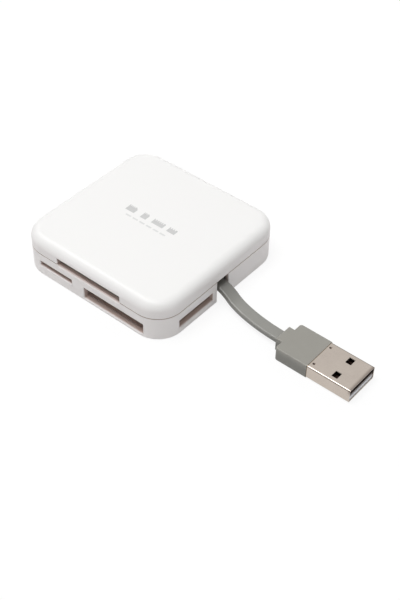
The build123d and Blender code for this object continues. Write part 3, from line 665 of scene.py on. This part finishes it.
for source, target in (
    (given.outputs["Pitch"], step.inputs["X"]),
    (given.outputs["Count"], line.inputs["Count"]),
    (given.outputs["Start"], line.inputs["Start Location"]),
    (step.outputs["Vector"], line.inputs["Offset"]),
    (given.outputs["Shapes"], shapes.inputs["Collection"]),
    (line.outputs["Mesh"], placed.inputs["Points"]),
    (shapes.outputs["Instances"], placed.inputs["Instance"]),
    (placed.outputs["Instances"], real.inputs["Geometry"]),
    (real.outputs["Geometry"], coloured.inputs["Geometry"]),
    (given.outputs["Ink"], coloured.inputs["Material"]),
    (coloured.outputs["Geometry"], result.inputs["Geometry"]),
):
    row_tree.links.new(source, target)


def printed_row(name, shapes, count, pitch, middle, colour):
    """A row of printed shapes along X, as one plain mesh."""
    holder = bpy.data.objects.new(name, bpy.data.meshes.new(name + " holder"))
    bpy.context.scene.collection.objects.link(holder)
    rows = holder.modifiers.new("row", "NODES")
    rows.node_group = row_tree
    rows[inputs["Shapes"]] = shapes
    rows[inputs["Count"]] = count
    rows[inputs["Pitch"]] = pitch
    rows[inputs["Start"]] = middle - Vector(((count - 1) * pitch / 2, 0, 0))
    rows[inputs["Ink"]] = colour
    seen = holder.evaluated_get(bpy.context.evaluated_depsgraph_get())
    mesh = bpy.data.meshes.new_from_object(seen)
    holder.modifiers.remove(rows)
    holder.data = mesh
    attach(holder, "root")


sign_ink = finish("sign ink", ink((0.56, 0.56, 0.555), (0.62, 0.62, 0.615)))
dash_ink = finish("dash ink", ink((0.70, 0.70, 0.695), (0.75, 0.75, 0.745)))
signs = inked("card sign", [card_outline(*sizes) for sizes in card_signs])
dashes = inked("dash", [dash_outline(*dash_size)])
dash_middle = print_middle - Vector((0, dash_drop, 0))
printed_row("printed_signs", signs, len(card_signs), sign_pitch, print_middle, sign_ink)
printed_row("printed_dashes", dashes, dash_count, dash_pitch, dash_middle, dash_ink)

# Table, light and camera
# A white table in a pale room, with a large soft lamp nearly overhead and two more lamps for the edges.
# The camera stands at the front right corner and looks down on the reader.
table_size = 1.5
table_drop = 0.00003


def ray_kinds(tree):
    """Two values: 1 for rays from the camera, and 1 for rays that were mirrored or went through glass."""
    ray = tree.nodes.new("ShaderNodeLightPath")
    mirrored = Value(tree, ray.outputs["Is Glossy Ray"]) + Value(tree, ray.outputs["Is Transmission Ray"])
    return Value(tree, ray.outputs["Is Camera Ray"]), mirrored


table_mesh = bpy.data.meshes.new("table")
table_mesh.from_pydata(
    [(x * table_size, y * table_size, -table_drop) for x, y in ((-1, -1), (1, -1), (1, 1), (-1, 1))],
    [],
    [(0, 1, 2, 3)],
)
table = bpy.data.objects.new("table", table_mesh)
bpy.context.scene.collection.objects.link(table)

table_material = bpy.data.materials.new("table white")
table_material.use_nodes = True
tree = table_material.node_tree
tree.nodes.clear()
camera_ray, mirrored_ray = ray_kinds(tree)
# The table as it is seen is paler than the light that it gives back, so that the shadow stays faint.
paint_colour = camera_ray.tint((0.70, 0.70, 0.70, 1.0), (0.15, 0.15, 0.15, 1.0))
paint_colour = mirrored_ray.tint(paint_colour, (0.36, 0.36, 0.36, 1.0))
paint = camera_ray.node("BsdfDiffuse", {}, {"Color": paint_colour})
glow_strength = 0.86 * camera_ray + 0.62 * mirrored_ray
glow = camera_ray.node("Emission", {}, {"Color": (1.0, 1.0, 1.0, 1.0), "Strength": glow_strength})
both = camera_ray.node("AddShader", {}, {"Shader": paint, "Shader_001": glow})
tree.links.new(both.socket, tree.nodes.new("ShaderNodeOutputMaterial").inputs["Surface"])
table_mesh.materials.append(table_material)

world = bpy.data.worlds.new("pale room")
bpy.context.scene.world = world
world.use_nodes = True
tree = world.node_tree
tree.nodes.clear()
camera_ray, mirrored_ray = ray_kinds(tree)
# The walls of the room are darker near the floor, which draws a line along the edges of metal.
upward = Value(tree, tree.nodes.new("ShaderNodeTexCoord").outputs["Generated"]).along(2).rise(0.30, 0.95)
brightness = 0.45 + 0.55 * camera_ray - 0.15 * mirrored_ray + 0.85 * upward * mirrored_ray
room = camera_ray.node("Background", {}, {"Color": (1.0, 1.0, 1.0, 1.0), "Strength": brightness})
tree.links.new(room.socket, tree.nodes.new("ShaderNodeOutputWorld").inputs["Surface"])

# The soft lamp lights the whole, and a low one behind the reader keeps the far edges of the cover pale.
for name, size, watts, spot in (
    ("soft lamp", 0.42, 4.0, (-0.12, -0.15, 0.80)),
    ("back lamp", 0.40, 0.9, (-0.20, 0.65, 0.16)),
):
    lamp = bpy.data.lights.new(name, "AREA")
    lamp.shape = "SQUARE"
    lamp.size = size
    lamp.energy = watts
    lamp_object = bpy.data.objects.new(name, lamp)
    lamp_object.location = spot
    lamp_object.rotation_euler = (-lamp_object.location).to_track_quat("-Z", "Y").to_euler()
    lamp_object.visible_glossy = False
    bpy.context.scene.collection.objects.link(lamp_object)

# A long, narrow lamp from overhead to the left that only draws the highlights along edges.
strip_direction = Vector((-0.88, 0.29, -0.37))
strip = bpy.data.lights.new("strip lamp", "AREA")
strip.shape = "RECTANGLE"
strip.size = 0.90
strip.size_y = 0.22
strip.energy = 4.4
strip_object = bpy.data.objects.new("strip lamp", strip)
strip_object.location = (-0.32, -0.06, 0.68)
strip_back = strip_object.location.normalized()
strip_across = strip_back.cross(strip_direction).normalized()
strip_axes = Matrix((strip_across.cross(strip_back), strip_across, strip_back)).transposed()
strip_object.rotation_euler = strip_axes.to_euler()
strip_object.visible_diffuse = False
bpy.context.scene.collection.objects.link(strip_object)

camera_data = bpy.data.cameras.new("camera")
camera_data.sensor_width = 36.0
camera_data.lens = 68.0
camera = bpy.data.objects.new("camera", camera_data)
camera.location = (0.1752, -0.1903, 0.2311)
aim = Vector((0.0262, -0.0085, 0.0040))
roll = Quaternion((0, 0, 1), math.radians(0.95))
camera.rotation_euler = ((aim - camera.location).to_track_quat("-Z", "Y") @ roll).to_euler()
bpy.context.scene.collection.objects.link(camera)
bpy.context.scene.camera = camera
bpy.context.scene.view_settings.view_transform = "Standard"
